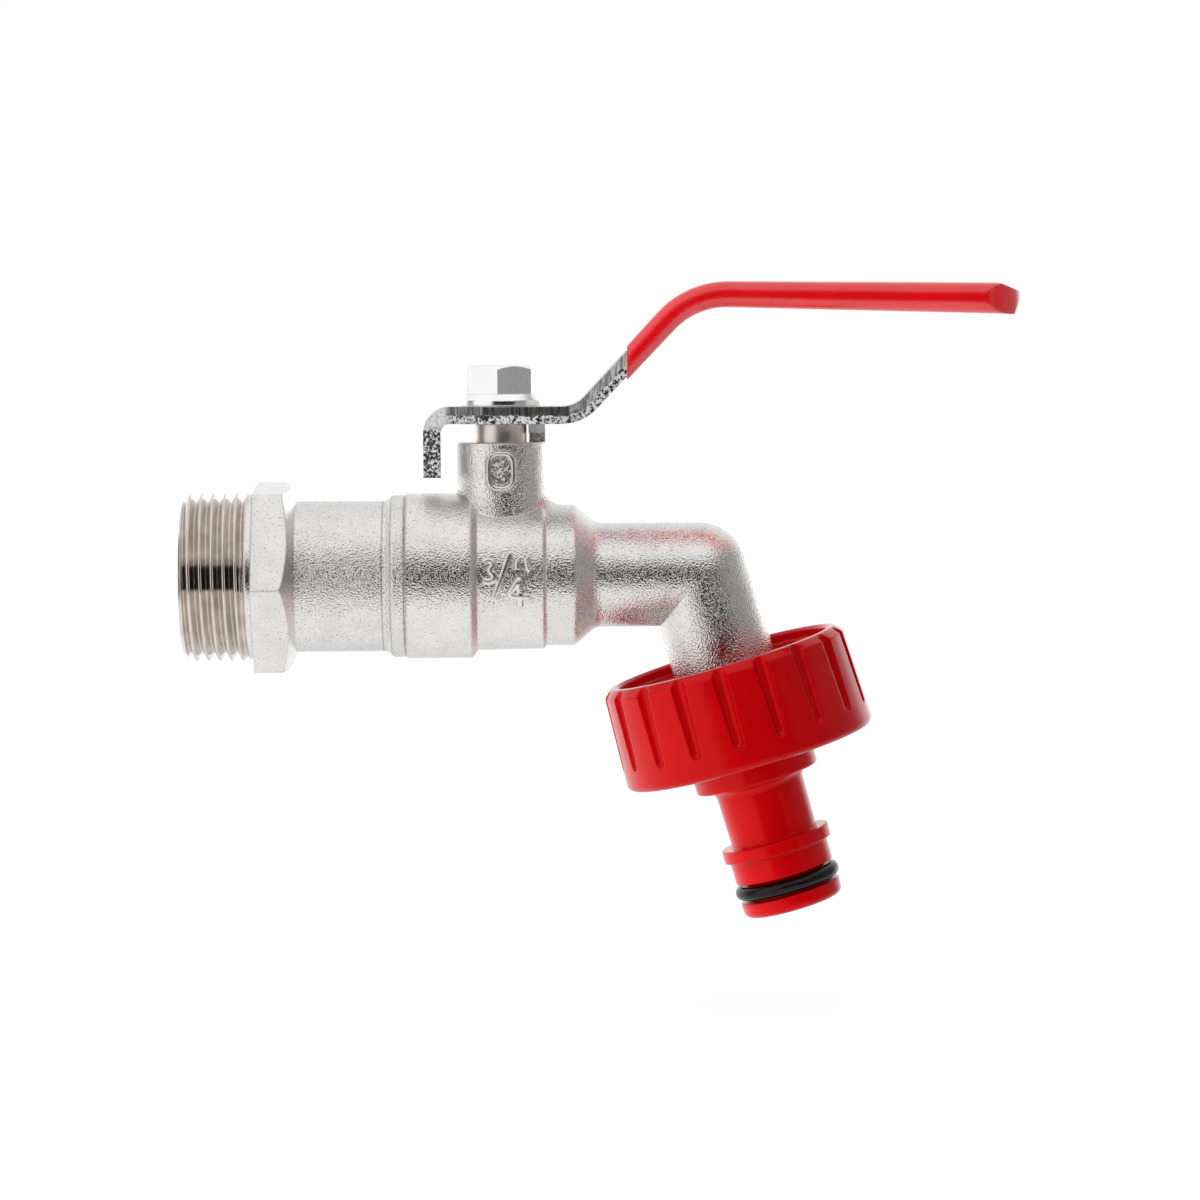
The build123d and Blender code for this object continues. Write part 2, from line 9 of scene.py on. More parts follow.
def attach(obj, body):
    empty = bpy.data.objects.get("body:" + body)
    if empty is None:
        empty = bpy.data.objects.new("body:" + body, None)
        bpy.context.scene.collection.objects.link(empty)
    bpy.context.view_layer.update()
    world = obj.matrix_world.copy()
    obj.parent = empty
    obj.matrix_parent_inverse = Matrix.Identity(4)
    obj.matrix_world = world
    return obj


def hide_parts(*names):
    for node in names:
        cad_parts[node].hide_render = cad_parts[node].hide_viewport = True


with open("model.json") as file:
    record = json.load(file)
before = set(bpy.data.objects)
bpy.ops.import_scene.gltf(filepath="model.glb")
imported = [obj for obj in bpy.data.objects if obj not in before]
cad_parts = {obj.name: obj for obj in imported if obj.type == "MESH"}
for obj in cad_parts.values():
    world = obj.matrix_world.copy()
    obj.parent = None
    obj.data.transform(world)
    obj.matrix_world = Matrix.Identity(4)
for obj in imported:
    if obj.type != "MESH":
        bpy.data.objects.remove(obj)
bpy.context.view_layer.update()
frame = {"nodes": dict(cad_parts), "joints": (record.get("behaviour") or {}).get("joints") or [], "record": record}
nodes = frame["nodes"]
MM = 0.001

# Places in the row frame, in millimetres, as the CAD has them
THREAD_R = 13.22
THREAD_START = -9.8
THREAD_RELIEF = 0.25
THREAD_PITCH = 1.814
BORE_R = 9.3
BORE_EDGE = 0.5
HEX_END = 8.3
BARREL_R = 11.95
CREASE_START = 33.0
CREASE_END = 50.0
CREASE_TOP = 9.0
STEM_X = 40.2
PAD_Y = -7.5
PAD_Z = 16.6
LEVER_BASE = 23.8
KNEE_X = 71.0
OUTLET_R = 16.62
OUTLET_START = 17.0
OUTLET_END = 23.4
OUTLET_EDGE_R = 15.72
OUTLET_PITCH = 2.309
NUT_WALL_R = 16.77
NUT_THREAD_START = 15.5
NUT_THREAD_END = 26.7

# The outlet's axis, and the direction across it in the plane of the pipe
slide = next(joint for joint in frame["joints"] if joint["name"] == "nipple_slide")
OUT = Vector(slide["axis"]).normalized()
SIDE = Vector((0, 1, 0)).cross(-OUT)


# Shader helpers

class Shader:
    def __init__(self, name):
        self.material = bpy.data.materials.new(name)
        self.material.use_nodes = True
        self.tree = self.material.node_tree
        self.tree.nodes.clear()
        self.output = self.add("ShaderNodeOutputMaterial")
        self.surface = self.add("ShaderNodeBsdfPrincipled")
        self.link(self.surface.outputs["BSDF"], self.output.inputs["Surface"])
        self.place = self.add("ShaderNodeTexCoord").outputs["Object"]

    def add(self, kind, **values):
        node = self.tree.nodes.new(kind)
        for key, value in values.items():
            setattr(node, key, value)
        return node

    def link(self, source, target):
        self.tree.links.new(source, target)

    def set(self, **values):
        for key, value in values.items():
            self.surface.inputs[key.replace("_", " ")].default_value = value

    def noise(self, scale, detail=2.0, stretch=None, rough=0.5):
        node = self.add("ShaderNodeTexNoise")
        node.inputs["Scale"].default_value = scale
        node.inputs["Detail"].default_value = detail
        node.inputs["Roughness"].default_value = rough
        where = self.place
        if stretch:
            mapping = self.add("ShaderNodeMapping")
            mapping.inputs["Scale"].default_value = stretch
            self.link(where, mapping.inputs["Vector"])
            where = mapping.outputs["Vector"]
        self.link(where, node.inputs["Vector"])
        return node.outputs["Fac"]

    def span(self, source, low, high, out_low=0.0, out_high=1.0):
        node = self.add("ShaderNodeMapRange", interpolation_type="SMOOTHSTEP")
        limits = {"From Min": low, "From Max": high, "To Min": out_low, "To Max": out_high}
        for key, value in limits.items():
            node.inputs[key].default_value = value
        self.link(source, node.inputs["Value"])
        return node.outputs["Result"]

    def math(self, kind, a, b):
        node = self.add("ShaderNodeMath", operation=kind)
        for value, socket in ((a, node.inputs[0]), (b, node.inputs[1])):
            if isinstance(value, (int, float)):
                socket.default_value = value
            else:
                self.link(value, socket)
        return node.outputs[0]

    def mix(self, factor, a, b):
        node = self.add("ShaderNodeMix", data_type="RGBA")
        self.link(factor, node.inputs[0])
        for value, socket in ((a, node.inputs[6]), (b, node.inputs[7])):
            if isinstance(value, tuple):
                socket.default_value = (*value, 1.0)
            else:
                self.link(value, socket)
        return node.outputs[2]

    def bump(self, height, distance, strength=1.0, under=None, round_edges=0.0):
        node = self.add("ShaderNodeBump")
        node.inputs["Strength"].default_value = strength
        node.inputs["Distance"].default_value = distance
        self.link(height, node.inputs["Height"])
        if under is not None:
            self.link(under, node.inputs["Normal"])
        elif round_edges:
            bevel = self.add("ShaderNodeBevel", samples=4)
            bevel.inputs["Radius"].default_value = round_edges
            self.link(bevel.outputs["Normal"], node.inputs["Normal"])
        return node.outputs["Normal"]

    def dress(self, color=None, roughness=None, normal=None):
        for source, key in ((color, "Base Color"), (roughness, "Roughness"), (normal, "Normal")):
            if source is not None:
                self.link(source, self.surface.inputs[key])
        return self.material


def blasted_nickel(name="nickel_forged", depth=0.00015, dull=0.07):
    s = Shader(name)
    s.set(Metallic=1.0)
    cloud = s.noise(260, 3)
    grain = s.noise(3700, 1.0, rough=0.5)
    color = s.mix(s.span(cloud, 0.35, 0.65), (0.80, 0.785, 0.765), (0.74, 0.725, 0.70))
    pits = s.span(grain, 0.24, 0.40, 1.0, 0.0)
    color = s.mix(pits, color, (0.46, 0.445, 0.43))
    rough = s.span(s.noise(900, 2), 0.3, 0.7, dull, dull + 0.05)
    coarse = s.bump(s.noise(400, 2), 0.0001, 0.12, round_edges=0.00045)
    return s.dress(color, rough, s.bump(grain, depth, 0.8, under=coarse))


def cast_nickel():
    s = Shader("nickel_cast")
    s.set(Metallic=1.0)
    specks = s.noise(2600, 2)
    color = s.mix(s.span(specks, 0.44, 0.58), (0.2, 0.195, 0.19), (0.80, 0.79, 0.77))
    rough = s.span(s.noise(900, 2), 0.3, 0.7, 0.12, 0.2)
    return s.dress(color, rough, s.bump(specks, 0.0004, 0.8))


def turned_nickel():
    s = Shader("nickel_turned")
    s.set(Metallic=1.0)
    cloud = s.noise(330, 3)
    color = s.mix(s.span(cloud, 0.35, 0.65), (0.72, 0.67, 0.625), (0.63, 0.58, 0.535))
    rings = s.noise(500, 2, stretch=(9, 0.6, 0.6))
    return s.dress(color, s.span(rings, 0.3, 0.7, 0.045, 0.08))


def turned_stem():
    s = Shader("nickel_stem")
    s.set(Metallic=1.0)
    cloud = s.noise(330, 3)
    color = s.mix(s.span(cloud, 0.35, 0.65), (0.84, 0.77, 0.69), (0.76, 0.69, 0.61))
    rings = s.noise(500, 2, stretch=(0.6, 0.6, 9))
    rough = s.span(rings, 0.3, 0.7, 0.30, 0.40)
    return s.dress(color, rough, s.bump(rings, 0.00003, 0.4, round_edges=0.00015))


def sheared_zinc():
    s = Shader("zinc_steel")
    s.set(Metallic=1.0)
    across = s.add("ShaderNodeAttribute", attribute_name="across").outputs["Fac"]
    side = s.add("ShaderNodeAttribute", attribute_name="side").outputs["Fac"]
    # Places along the strip: the hook and its bend, the slope up to the sleeve, and the stop nib
    parted = s.add("ShaderNodeSeparateXYZ")
    s.link(s.place, parted.inputs[0])
    along, _, up = parted.outputs
    hook = s.span(along, 0.0312, 0.0328, 1.0, 0.0)
    bend = s.math("MULTIPLY", hook, s.span(up, 0.0225, 0.0238))
    slope = s.span(along, 0.0510, 0.0550)
    nib = s.math("MULTIPLY", s.span(along, 0.0435, 0.0440), s.span(up, 0.0234, 0.0238, 1.0, 0.0))
    # The torn half of the sheared edge, with a ragged border
    drift = s.math("MULTIPLY", s.math("SUBTRACT", s.noise(900, 2), 0.5), 0.8)
    torn = s.span(s.math("ADD", across, drift), -0.12, 0.02, 1.0, 0.0)
    torn = s.math("MULTIPLY", s.math("MAXIMUM", torn, hook), side)
    chips = s.math("SUBTRACT", s.noise(1700, 4, rough=0.7), s.math("MULTIPLY", hook, 0.035))
    lines = s.noise(900, 2, stretch=(3.0, 3.0, 0.3))
    sheen = s.mix(s.span(s.noise(300, 3), 0.35, 0.65), (0.84, 0.84, 0.84), (0.76, 0.76, 0.76))
    scored = s.mix(s.span(lines, 0.36, 0.62), (0.14, 0.14, 0.135), (0.36, 0.36, 0.35))
    # Lighter, streaked colour on the edge where the strip slopes up to the sleeve: painted light, standing in for
    # the bright light that sloping part reflects
    slope_painted_light = s.mix(s.span(lines, 0.40, 0.60), (0.36, 0.36, 0.35), (0.80, 0.80, 0.79))
    scored = s.mix(slope, scored, slope_painted_light)
    smooth = s.mix(side, sheen, scored)
    broken = s.mix(s.span(chips, 0.43, 0.54), (0.05, 0.05, 0.048), (1.0, 1.0, 1.0))
    bent = s.mix(s.span(chips, 0.28, 0.38), (0.3, 0.3, 0.3), (0.97, 0.97, 0.97))
    broken = s.mix(bend, broken, bent)
    color = s.mix(torn, smooth, broken)
    dull = s.math("MULTIPLY", s.math("MAXIMUM", slope, nib), 0.3)
    rough = s.math("ADD", s.span(torn, 0.0, 1.0, 0.36, 0.32), dull)
    low = s.bump(s.math("MULTIPLY", lines, side), 0.0001, 0.6, round_edges=0.0002)
    return s.dress(color, rough, s.bump(s.math("MULTIPLY", chips, torn), 0.0005, 0.9, under=low))


def bright_zinc():
    s = Shader("bright_zinc")
    s.set(Metallic=1.0)
    color = s.mix(s.span(s.noise(260, 3), 0.35, 0.65), (0.96, 0.96, 0.96), (0.92, 0.92, 0.92))
    rough = s.span(s.noise(2600, 2), 0.3, 0.7, 0.12, 0.18)
    return s.dress(color, rough, s.bump(s.noise(2600, 2), 0.00004, 0.5, round_edges=0.0002))


def chrome_ball():
    s = Shader("chrome_ball")
    s.set(Metallic=1.0)
    color = s.mix(s.span(s.noise(200, 3), 0.35, 0.65), (0.84, 0.84, 0.86), (0.78, 0.78, 0.80))
    rough = s.span(s.noise(900, 3), 0.3, 0.7, 0.04, 0.09)
    return s.dress(color, rough, s.bump(s.noise(1500, 2), 0.00001, 0.4))


def dipped_sleeve():
    s = Shader("red_sleeve")
    s.set(IOR=1.6, Coat_Weight=0.8, Coat_Roughness=0.08)
    color = s.mix(s.span(s.noise(160, 3), 0.35, 0.65), (0.94, 0.0012, 0.008), (0.88, 0.0008, 0.006))
    rough = s.span(s.noise(500, 2), 0.3, 0.7, 0.08, 0.12)
    waves = s.bump(s.noise(120, 2), 0.0003, 0.1, round_edges=0.001)
    return s.dress(color, rough, s.bump(s.noise(1400, 2), 0.00001, 0.3, under=waves))


def moulded_red(name="red_plastic", strength=1.0):
    s = Shader(name)
    s.set(IOR=1.5, Specular_Tint=(1.0, 0.25, 0.25, 1.0))
    light = (0.62 * strength, 0.0005, 0.003)
    dark = (0.57 * strength, 0.0004, 0.0025)
    color = s.mix(s.span(s.noise(150, 3), 0.35, 0.65), light, dark)
    rough = s.span(s.noise(420, 3), 0.3, 0.7, 0.11, 0.16)
    waves = s.bump(s.noise(140, 2), 0.0002, 0.08, round_edges=0.0004)
    return s.dress(color, rough, s.bump(s.noise(1900, 2), 0.000008, 0.4, under=waves))


def black_rubber():
    s = Shader("black_rubber")
    s.set(IOR=1.34)
    color = s.mix(s.span(s.noise(500, 3), 0.35, 0.7), (0.002, 0.002, 0.002), (0.007, 0.0065, 0.006))
    rough = s.span(s.noise(800, 3), 0.3, 0.7, 0.14, 0.24)
    return s.dress(color, rough, s.bump(s.noise(1800, 2), 0.00001, 0.4))


def white_seal():
    s = Shader("white_seal")
    color = s.mix(s.span(s.noise(400, 3), 0.35, 0.65), (0.86, 0.86, 0.84), (0.78, 0.78, 0.76))
    rough = s.span(s.noise(800, 2), 0.3, 0.7, 0.42, 0.55)
    return s.dress(color, rough, s.bump(s.noise(1500, 2), 0.00003, 0.5))


LOOKS = {
    "nickel_forged": blasted_nickel(),
    "nickel_turned": turned_nickel(),
    "zinc_steel": sheared_zinc(),
    "bright_zinc": bright_zinc(),
    "chrome_ball": chrome_ball(),
    "red_sleeve": dipped_sleeve(),
    "red_plastic": moulded_red(),
    "black_rubber": black_rubber(),
    "white_seal": white_seal(),
}
STEM_LOOK = turned_stem()
RAISED_LOOK = blasted_nickel("nickel_raised", 0.00004)
INLET_LOOK = blasted_nickel("nickel_inlet", 0.00023, 0.14)
HEX_LOOK = blasted_nickel("nickel_hexagon", 0.00007, 0.12)
CREASE_LOOK = blasted_nickel("nickel_crease", 0.00025, 0.42)
# A 12 percent lighter copy of the moulded red for the hose nipple: painted light, standing in for the light from
# below on its tip and collar
NIPPLE_PAINTED_LIGHT_LOOK = moulded_red("red_nipple_painted_light", 1.12)

for part in frame["record"]["subparts"]:
    node = nodes[part["node"]]
    node.data.materials.clear()
    node.data.materials.append(LOOKS[part["material_slot"]])
nodes["stem"].data.materials[0] = STEM_LOOK
# The hose nipple takes the lighter red, which is painted light
nodes["hose_nipple"].data.materials[0] = NIPPLE_PAINTED_LIGHT_LOOK


# Piece helpers

def piece(name, mesh, body, looks):
    for number, look in enumerate(looks):
        if number < len(mesh.materials):
            mesh.materials[number] = look
        else:
            mesh.materials.append(look)
    obj = bpy.data.objects.new(name, mesh)
    bpy.context.scene.collection.objects.link(obj)
    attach(obj, body)
    return obj


# A 55 degree pipe thread: half its angle, and its rounding and depth as shares of the pitch
FLANK = math.radians(27.5)
THREAD_ROUND = 0.137329
THREAD_DEPTH = 0.640327


def thread_drop(along, pitch, root_share=THREAD_ROUND):
    """How far a 55 degree thread lies under its crests, along from a crest."""
    crest_r = THREAD_ROUND * pitch
    root_r = root_share * pitch
    beside = abs((along / pitch + 0.5) % 1.0 - 0.5) * pitch
    from_root = pitch / 2 - beside
    apex = pitch / 2 / math.tan(FLANK)
    top = apex - crest_r / math.sin(FLANK) + crest_r
    if beside < crest_r * math.cos(FLANK):
        height = top - crest_r + math.sqrt(crest_r**2 - beside**2)
    elif from_root < root_r * math.cos(FLANK):
        height = root_r / math.sin(FLANK) - math.sqrt(root_r**2 - from_root**2)
    else:
        height = from_root / math.tan(FLANK)
    return top - height


def spaced(start, end, steps):
    return [start + (end - start) * i / steps for i in range(steps + 1)]


def ring_surface(bm, stations, radius, columns, place, material=0):
    """Rows of rings along an axis, radius(along, angle) in millimetres."""
    rows = []
    for along in stations:
        row = []
        for i in range(columns):
            angle = 2 * math.pi * i / columns
            row.append(bm.verts.new(place(along, radius(along, angle), angle)))
        rows.append(row)
    for low, high in zip(rows, rows[1:]):
        for i in range(columns):
            j = (i + 1) % columns
            face = bm.faces.new((low[i], low[j], high[j], high[i]))
            face.smooth = True
            face.material_index = material
    return rows


def bridge(bm, low, high, material=0):
    count = len(low)
    for i in range(count):
        j = (i + 1) % count
        face = bm.faces.new((low[i], low[j], high[j], high[i]))
        face.material_index = material


def on_pipe(along, radius, angle):
    return Vector((along, radius * math.cos(angle), radius * math.sin(angle))) * MM


def on_outlet(along, radius, angle):
    across = SIDE * math.cos(angle) + Vector((0, 1, 0)) * math.sin(angle)
    return (Vector((KNEE_X, 0, 0)) + OUT * along + across * radius) * MM


# Inlet end: the turned piece from the CAD with a cut thread in place of its plain cylinder
THREAD_CUT = 0.6
THREAD_RUN_OUT = 0.9
THREAD_CHAMFER = 1.25
CREST_X = -5.43
SHARP_ROOT = 0.03
STEPS_PER_PITCH = 30
INLET_COLUMNS = 168


def inlet_radius(along, angle):
    turn = THREAD_PITCH * angle / (2 * math.pi)
    drop = thread_drop(along - turn - CREST_X, THREAD_PITCH, SHARP_ROOT)
    run_out = min(1.0, max(0.0, (THREAD_CUT - along) / THREAD_RUN_OUT))
    radius = THREAD_R - drop * run_out - THREAD_RELIEF * (1 - run_out)
    return min(radius, THREAD_R - THREAD_CHAMFER + along - THREAD_START)


mesh = nodes["inlet_end"].data.copy()
bm = bmesh.new()
bm.from_mesh(mesh)
bmesh.ops.bisect_plane(
    bm,
    geom=bm.verts[:] + bm.edges[:] + bm.faces[:],
    plane_co=(THREAD_CUT * MM, 0, 0),
    plane_no=(1, 0, 0),
    clear_inner=True,
)
for face in bm.faces:
    face.material_index = 2 if face.calc_center_median().x < HEX_END * MM else 0
steps = round((THREAD_CUT - THREAD_START) / THREAD_PITCH * STEPS_PER_PITCH)
stations = spaced(THREAD_START, THREAD_CUT, steps)
outer = ring_surface(bm, stations, inlet_radius, INLET_COLUMNS, on_pipe, material=1)
bore = ring_surface(
    bm,
    [THREAD_START, THREAD_START + BORE_EDGE, -4.0, THREAD_CUT],
    lambda along, angle: BORE_R + (BORE_EDGE if along <= THREAD_START else 0.0),
    INLET_COLUMNS,
    on_pipe,
    material=1,
)
bridge(bm, bore[0], outer[0], material=1)
bmesh.ops.recalc_face_normals(bm, faces=bm.faces[:])
bm.to_mesh(mesh)
bm.free()
looks = [INLET_LOOK, LOOKS["nickel_turned"], HEX_LOOK]
inlet = piece("inlet_end_cut", mesh, "tap", looks)
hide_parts("inlet_end")

# Valve body: the forging from the CAD with dull creases and a cut thread round its outlet
OUTLET_STEPS = 72
OUTLET_COLUMNS = 144


def outlet_place(point):
    """How far along and how far out from the outlet axis a point is, in millimetres."""
    offset = point / MM - Vector((KNEE_X, 0, 0))
    along = offset.dot(OUT)
    return along, (offset - OUT * along).length


def outlet_radius(along, angle):
    drop = thread_drop(along + OUTLET_PITCH * angle / (2 * math.pi), OUTLET_PITCH)
    edge = min(along - OUTLET_START, OUTLET_END - along)
    return min(OUTLET_R - drop, OUTLET_EDGE_R + edge)


mesh = nodes["valve_body"].data.copy()
bm = bmesh.new()
bm.from_mesh(mesh)
rim = []
for face in bm.faces:
    middle = face.calc_center_median() / MM
    on_barrel_skin = math.hypot(middle.y, middle.z) > BARREL_R - 1.0 and middle.z < CREASE_TOP
    step = CREASE_START < middle.x < CREASE_END and abs(face.normal.x) > 0.25
    face.material_index = 2 if on_barrel_skin and step else 0
    places = [outlet_place(vert.co) for vert in face.verts]
    if all(radius > OUTLET_EDGE_R - 0.02 and along > OUTLET_START - 0.1 for along, radius in places):
        rim.append(face)
bmesh.ops.delete(bm, geom=rim, context="FACES")
stations = spaced(OUTLET_START, OUTLET_END, OUTLET_STEPS)
ring_surface(bm, stations, outlet_radius, OUTLET_COLUMNS, on_outlet, material=1)
bmesh.ops.recalc_face_normals(bm, faces=bm.faces[:])
bm.to_mesh(mesh)
bm.free()
looks = [LOOKS["nickel_forged"], LOOKS["nickel_turned"], CREASE_LOOK]
body = piece("valve_body_cut", mesh, "tap", looks)
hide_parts("valve_body")


# Thread inside the union nut, which runs in the outlet thread
NUT_STEPS = 124
NUT_COLUMNS = 120
NUT_SUNK = 0.02
NUT_PLAY = 0.1
NUT_LEAD = 0.8


def nut_radius(along, angle):
    turned = along + OUTLET_PITCH * angle / (2 * math.pi) + OUTLET_PITCH / 2
    height = THREAD_DEPTH * OUTLET_PITCH - thread_drop(turned, OUTLET_PITCH)
    edge = min(along - NUT_THREAD_START, NUT_THREAD_END - along) - NUT_PLAY
    lead = min(1.0, max(0.0, edge / NUT_LEAD))
    return NUT_WALL_R + NUT_SUNK - max(0.0, height - NUT_PLAY) * lead


bm = bmesh.new()
stations = spaced(NUT_THREAD_START, NUT_THREAD_END, NUT_STEPS)
ring_surface(bm, stations, nut_radius, NUT_COLUMNS, on_outlet)
for face in bm.faces:
    face.normal_flip()
mesh = bpy.data.meshes.new("union_thread")
bm.to_mesh(mesh)
bm.free()
piece("union_thread", mesh, "union", [LOOKS["red_plastic"]])

# Lever: the same strip, with how far each point is across the sheared edge
mesh = nodes["lever"].data.copy()
bm = bmesh.new()
bm.from_mesh(mesh)
bmesh.ops.remove_doubles(bm, verts=bm.verts[:], dist=1e-6)
across = bm.verts.layers.float.new("across")
UPPER = Vector((-0.5, 0, 1))
sides = []
for face in bm.faces:
    middle = face.calc_center_median() / MM
    nib = middle.x > STEM_X and middle.z < LEVER_BASE
    sides.append(1.0 if abs(face.normal.y) > 0.35 and not nib else 0.0)
for vert in bm.verts:
    flats = [face for face in vert.link_faces if abs(face.normal.y) < 0.05]
    signs = [math.copysign(1.0, face.normal.dot(UPPER)) for face in flats]
    vert[across] = sum(signs) / len(signs) if signs else 0.0
bm.to_mesh(mesh)
bm.free()
flag = mesh.attributes.new("side", "FLOAT", "FACE")
for index, value in enumerate(sides):
    flag.data[index].value = value
lever = piece("lever_sheared", mesh, "lever", [LOOKS["zinc_steel"]])
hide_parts("lever")


# Raised pipe size on the front of the barrel: its strokes along the pipe and up, in millimetres
STROKE_LIFT = 0.18
STROKE_R = 0.6
STROKES = [
    [
        (37.37, 2.53), (37.99, 3.00), (38.78, 2.84), (38.94, 2.06), (38.31, 1.43),
        (39.09, 0.80), (39.09, 0.01), (38.31, -0.46), (37.37, -0.14),
    ],
    [(41.45, 3.94), (40.35, 0.49), (38.94, -2.97)],
    [
        (43.02, -4.22), (43.02, -2.65), (43.02, -1.08), (43.02, 0.17), (42.08, -1.24),
        (41.29, -2.50), (42.86, -2.65), (44.59, -2.65),
    ],
    [(42.70, 2.84), (42.70, 1.43)],
    [(44.12, 3.31), (44.12, 1.90), (44.74, 1.27)],
]


def on_barrel(x, z):
    return Vector((x, -math.sqrt((BARREL_R + STROKE_LIFT) ** 2 - z**2), z)) * MM


def raised_lines(name, lines, radius, closed=False):
    """Round ridges along lines of points in metres, as one mesh, radius in millimetres."""
    curve = bpy.data.curves.new(name, "CURVE")
    curve.dimensions = "3D"
    curve.bevel_depth = radius * MM
    curve.bevel_resolution = 4
    curve.use_fill_caps = not closed
    for line in lines:
        spline = curve.splines.new("NURBS")
        spline.points.add(len(line) - 1)
        for point, place in zip(spline.points, line):
            point.co = (*place, 1.0)
        spline.use_endpoint_u = not closed
        spline.use_cyclic_u = closed
        spline.order_u = 3
    holder = bpy.data.objects.new(name, curve)
    bpy.context.scene.collection.objects.link(holder)
    mesh = bpy.data.meshes.new_from_object(holder)
    bpy.data.objects.remove(holder)
    for face in mesh.polygons:
        face.use_smooth = True
    return piece(name, mesh, "tap", [RAISED_LOOK])


raised_lines("pipe_size", [[on_barrel(x, z) for x, z in stroke] for stroke in STROKES], STROKE_R)

# Rounded rim of the raised pad, and the rough oval inside it with nothing on it
RIM_POINTS = 40
RIM_POWER = 0.62
RIM_HALF = (1.95, 2.75)
RIM_LIFT = 0.2
RIM_R = 0.45
OVAL_HALF = (1.6, 1.95)
OVAL_CELLS = (18, 22)


def squared(value):
    """A sine or cosine made fuller, which turns an ellipse into a rounded oblong."""
    return math.copysign(abs(value) ** RIM_POWER, value)


def on_pad(u, v, lift):
    return Vector((STEM_X + u, PAD_Y - lift, PAD_Z + v)) * MM


PAD_RIM = []
for number in range(RIM_POINTS):
    angle = 2 * math.pi * number / RIM_POINTS
    u = squared(math.cos(angle)) * RIM_HALF[0]
    v = squared(math.sin(angle)) * RIM_HALF[1]
    PAD_RIM.append(on_pad(u, v, RIM_LIFT))
raised_lines("pad_rim", [PAD_RIM], RIM_R, closed=True)


def oval_lift(u, v, reach):
    rough = noise.noise(Vector((u * 3.1, v * 3.1, 0.7))) + 0.6 * noise.noise(Vector((u * 7, v * 7, 4.2)))
    return max((0.05 + 0.1 * rough) * min(1.0, (1 - reach) * 5), -0.03)


bm = bmesh.new()
grid = {}
for i in range(2 * OVAL_CELLS[0] + 1):
    for j in range(2 * OVAL_CELLS[1] + 1):
        u = (i / OVAL_CELLS[0] - 1) * OVAL_HALF[0]
        v = (j / OVAL_CELLS[1] - 1) * OVAL_HALF[1]
        reach = math.hypot(u / OVAL_HALF[0], v / OVAL_HALF[1])
        if reach <= 1.0:
            grid[i, j] = bm.verts.new(on_pad(u, v, oval_lift(u, v, reach)))
for i, j in list(grid):
    corners = [grid.get(key) for key in ((i, j), (i + 1, j), (i + 1, j + 1), (i, j + 1))]
    if all(corners):
        bm.faces.new(corners).smooth = True
mesh = bpy.data.meshes.new("pad_cast_oval")
bm.to_mesh(mesh)
bm.free()
piece("pad_cast_oval", mesh, "tap", [cast_nickel()])

# Floor
FLOOR_SIZE = 4.0
FLOOR_PLACE = (0.055, 0.0, -0.066)


def pale_floor():
    s = Shader("pale_floor")
    s.set(Emission_Color=(1, 1, 1, 1), Emission_Strength=0.78)
    color = s.mix(s.span(s.noise(9, 3), 0.35, 0.65), (0.27, 0.27, 0.27), (0.25, 0.25, 0.25))
    return s.dress(color, s.span(s.noise(20, 2), 0.3, 0.7, 0.75, 0.85))


bm = bmesh.new()
bmesh.ops.create_grid(bm, x_segments=8, y_segments=8, size=FLOOR_SIZE)
mesh = bpy.data.meshes.new("floor")
bm.to_mesh(mesh)
bm.free()
mesh.materials.append(pale_floor())
floor = bpy.data.objects.new("floor", mesh)
floor.location = FLOOR_PLACE
floor.visible_glossy = False
floor.visible_diffuse = False
bpy.context.scene.collection.objects.link(floor)

# Studio light: a white surround with the dark cards that the metal mirrors
world = bpy.data.worlds.new("studio")
bpy.context.scene.world = world
world.use_nodes = True
tree = world.node_tree
tree.nodes.clear()


def world_node(kind, **values):
    node = tree.nodes.new(kind)
    for key, value in values.items():
        setattr(node, key, value)
    return node


def world_math(kind, a, b=0.0):
    node = world_node("ShaderNodeMath", operation=kind)
    for value, socket in ((a, node.inputs[0]), (b, node.inputs[1])):
        if isinstance(value, (int, float)):
            socket.default_value = value
        else:
            tree.links.new(value, socket)
    return node.outputs[0]


def world_product(first, *others):
    for other in others:
        first = world_math("MULTIPLY", first, other)
    return first


def world_sum(first, *others):
    for other in others:
        first = world_math("ADD", first, other)
    return first


def world_step(source, low, high):
    node = world_node("ShaderNodeMapRange", interpolation_type="SMOOTHSTEP")
    node.inputs["From Min"].default_value = low
    node.inputs["From Max"].default_value = high
    tree.links.new(source, node.inputs["Value"])
    return node.outputs["Result"]


def world_window(source, low, high, soft_low, soft_high):
    rise = world_step(source, low - soft_low, low + soft_low)
    fall = world_step(source, high - soft_high, high + soft_high)
    return world_math("SUBTRACT", rise, fall)


direction = world_node("ShaderNodeSeparateXYZ")
tree.links.new(world_node("ShaderNodeTexCoord").outputs["Generated"], direction.inputs[0])
x, y, z = direction.outputs
height = world_math("DEGREES", world_math("ARCSINE", z))
turn = world_math("DEGREES", world_math("ARCTAN2", x, world_product(y, -1.0)))

# The cards, by degrees of height and of turn from the photo's side
card = world_sum(
    world_window(height, -17, 20, 3, 4),
    world_product(world_window(height, 20, 31, 4, 5), 0.4),
)
front = world_product(card, world_window(turn, -25, 48, 6, 12))
left = world_product(world_window(height, -14, 34, 5, 8), world_window(turn, -112, -86, 6, 6), 0.68)
flank = world_sum(
    world_product(world_window(turn, 44, 74, 8, 8), 0.74),
    world_product(world_window(turn, 74, 128, 8, 12), 0.62),
)
right_side = world_product(world_window(height, -20, 45, 8, 10), flank)
shade = world_math("MAXIMUM", world_math("MAXIMUM", front, left), right_side)

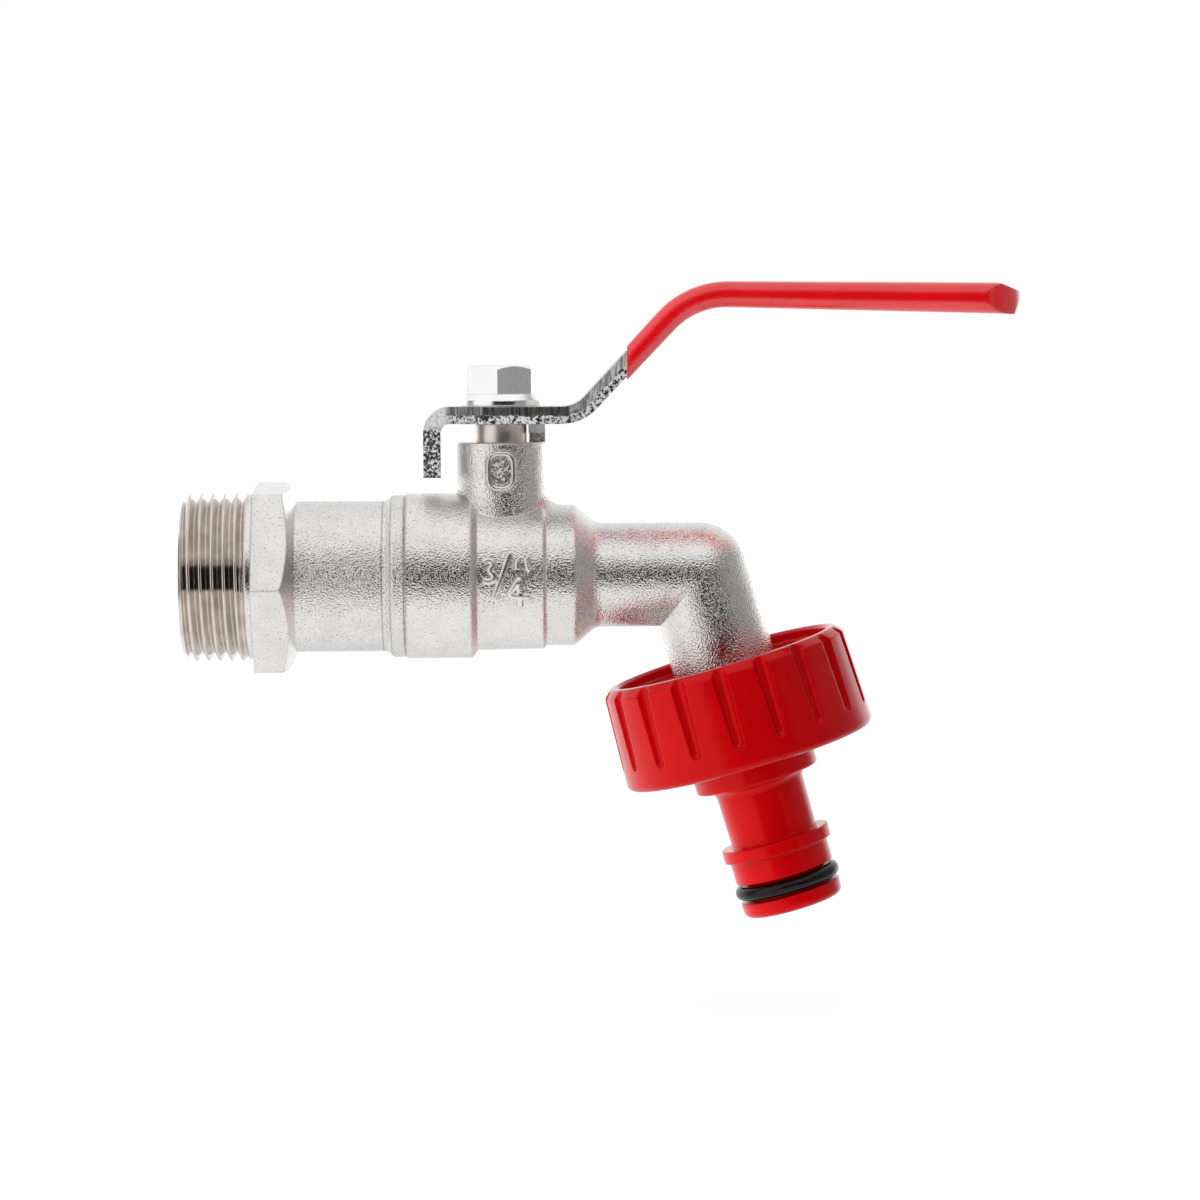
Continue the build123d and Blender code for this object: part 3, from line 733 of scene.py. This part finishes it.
# The light from behind, stronger along the horizon and low on the left, weaker above and below
behind = world_step(y, 0.25, 0.75)
upper = world_window(height, 26, 74, 8, 8)
horizon = world_window(height, -12, 12, 5, 5)
lower = world_window(height, -74, -10, 8, 8)
rim = world_sum(world_product(world_step(x, 0.08, 0.35), 0.45), 0.12)
glow = world_product(
    world_window(height, -42, 0, 8, 8), world_step(world_product(x, -1.0), 0.15, 0.5)
)
level = world_sum(
    1.0,
    world_product(horizon, behind, rim),
    world_product(lower, behind, -0.13),
    world_product(upper, behind, -0.1),
    world_product(glow, behind, 0.25),
)
mirrored = world_product(level, world_math("SUBTRACT", 1.0, world_product(shade, 0.98)))

# The light that rough and coloured surfaces gather, stronger from the left
spread = world_sum(1.0, world_product(x, -0.68), world_product(y, 0.25), world_product(z, -0.1))


def world_choice(ray, seen, otherwise):
    node = world_node("ShaderNodeMix", data_type="FLOAT")
    tree.links.new(ray, node.inputs[0])
    tree.links.new(otherwise, node.inputs[2])
    if isinstance(seen, float):
        node.inputs[3].default_value = seen
    else:
        tree.links.new(seen, node.inputs[3])
    return node.outputs[0]


rays = world_node("ShaderNodeLightPath").outputs
light = world_choice(rays["Is Diffuse Ray"], spread, mirrored)
light = world_choice(rays["Is Camera Ray"], 1.0, light)
background = world_node("ShaderNodeBackground")
background.inputs["Color"].default_value = (1, 1, 1, 1)
tree.links.new(light, background.inputs["Strength"])
tree.links.new(background.outputs[0], world_node("ShaderNodeOutputWorld").inputs["Surface"])


# Camera at the photo's angle, with the size of one of the photo's pixels at the pipe's axis
AZIMUTH = math.radians(0.8)
ELEVATION = math.radians(3.4)
ROLL = math.radians(-0.3)
DISTANCE = 0.66
PIXEL = 0.0001576
PIXELS = 1200
SENSOR = 36
TARGET = Vector((0.0556, 0.0, -0.0040))
level_way = Vector((math.sin(AZIMUTH), math.cos(AZIMUTH), 0.0))
forward = level_way * math.cos(ELEVATION) - Vector((0, 0, 1)) * math.sin(ELEVATION)
right = Vector((math.cos(AZIMUTH), -math.sin(AZIMUTH), 0.0))
up = right.cross(forward)
right, up = (
    right * math.cos(ROLL) + up * math.sin(ROLL),
    up * math.cos(ROLL) - right * math.sin(ROLL),
)
camera = bpy.data.cameras.new("camera")
camera.sensor_width = SENSOR
camera.lens = SENSOR * DISTANCE / (PIXEL * PIXELS)
camera_object = bpy.data.objects.new("camera", camera)
turn_to = Matrix((right, up, -forward)).transposed().to_4x4()
turn_to.translation = TARGET - forward * DISTANCE
camera_object.matrix_world = turn_to
bpy.context.scene.collection.objects.link(camera_object)
bpy.context.scene.camera = camera_object
bpy.context.scene.view_settings.view_transform = "Standard"
